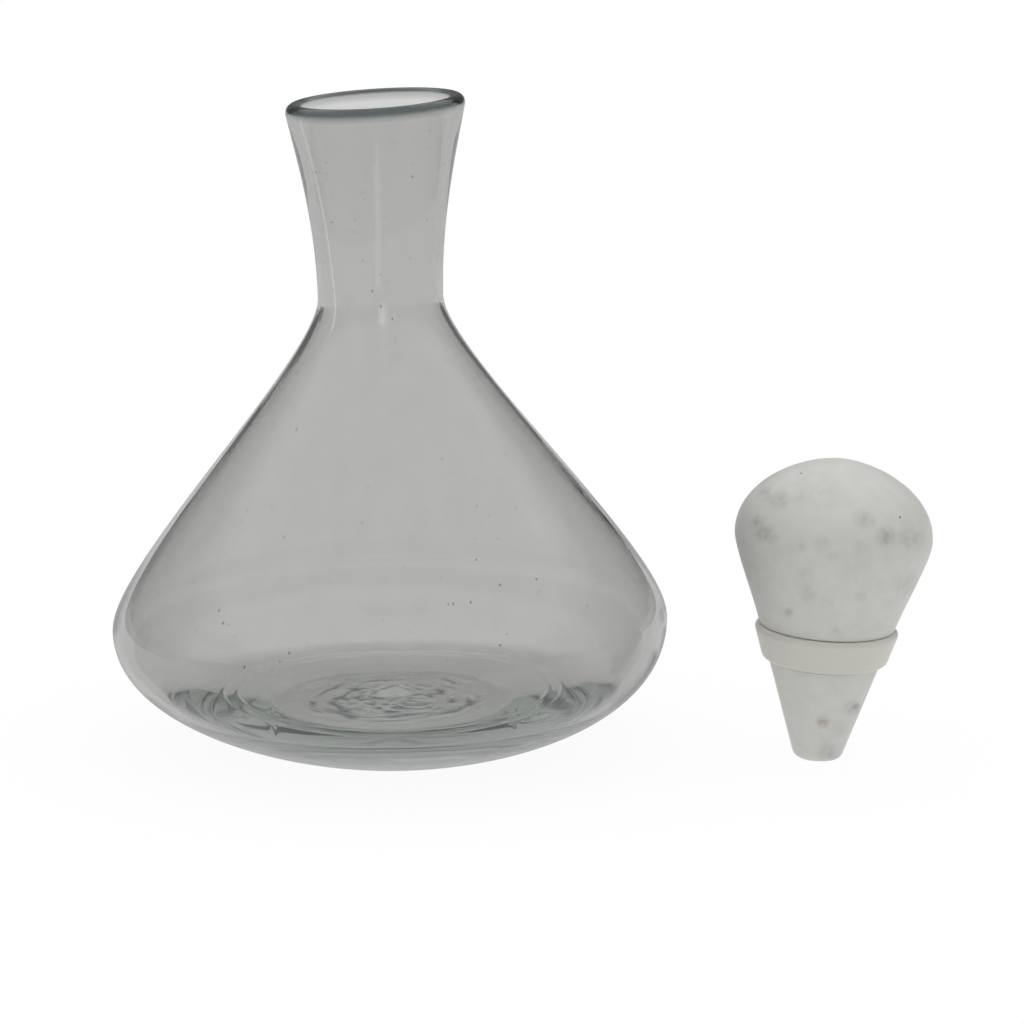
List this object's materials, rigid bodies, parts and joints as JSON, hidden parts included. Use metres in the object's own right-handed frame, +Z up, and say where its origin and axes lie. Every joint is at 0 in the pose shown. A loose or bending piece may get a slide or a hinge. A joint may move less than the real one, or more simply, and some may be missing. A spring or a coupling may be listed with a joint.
{
  "type": "decanter",
  "caption": "Wide-bellied blown glass decanter with a flared neck, and a turned marble stopper with a silicone seal ring standing beside it.",
  "frame": {"origin": "on the table, at the middle of the decanter's foot", "axes": "+Z up, +X from the decanter towards the stopper that stands beside it, -Y towards the viewer of the picture"},
  "size_m": [0.2635, 0.18, 0.2117],
  "materials": {
    "glass": "gloss",
    "marble": "honed",
    "silicone": "translucent satin"
  },
  "bodies": {
    "decanter": {"glass_decanter": "glass"},
    "stopper": {"marble_stopper": "marble", "seal_ring": "silicone"}
  },
  "joints": [
    {"name": "stopper_lift", "type": "slide", "parent": "decanter", "child": "stopper", "axis": [0, 0, 1], "range_m": [0, 0.3]}
  ]
}
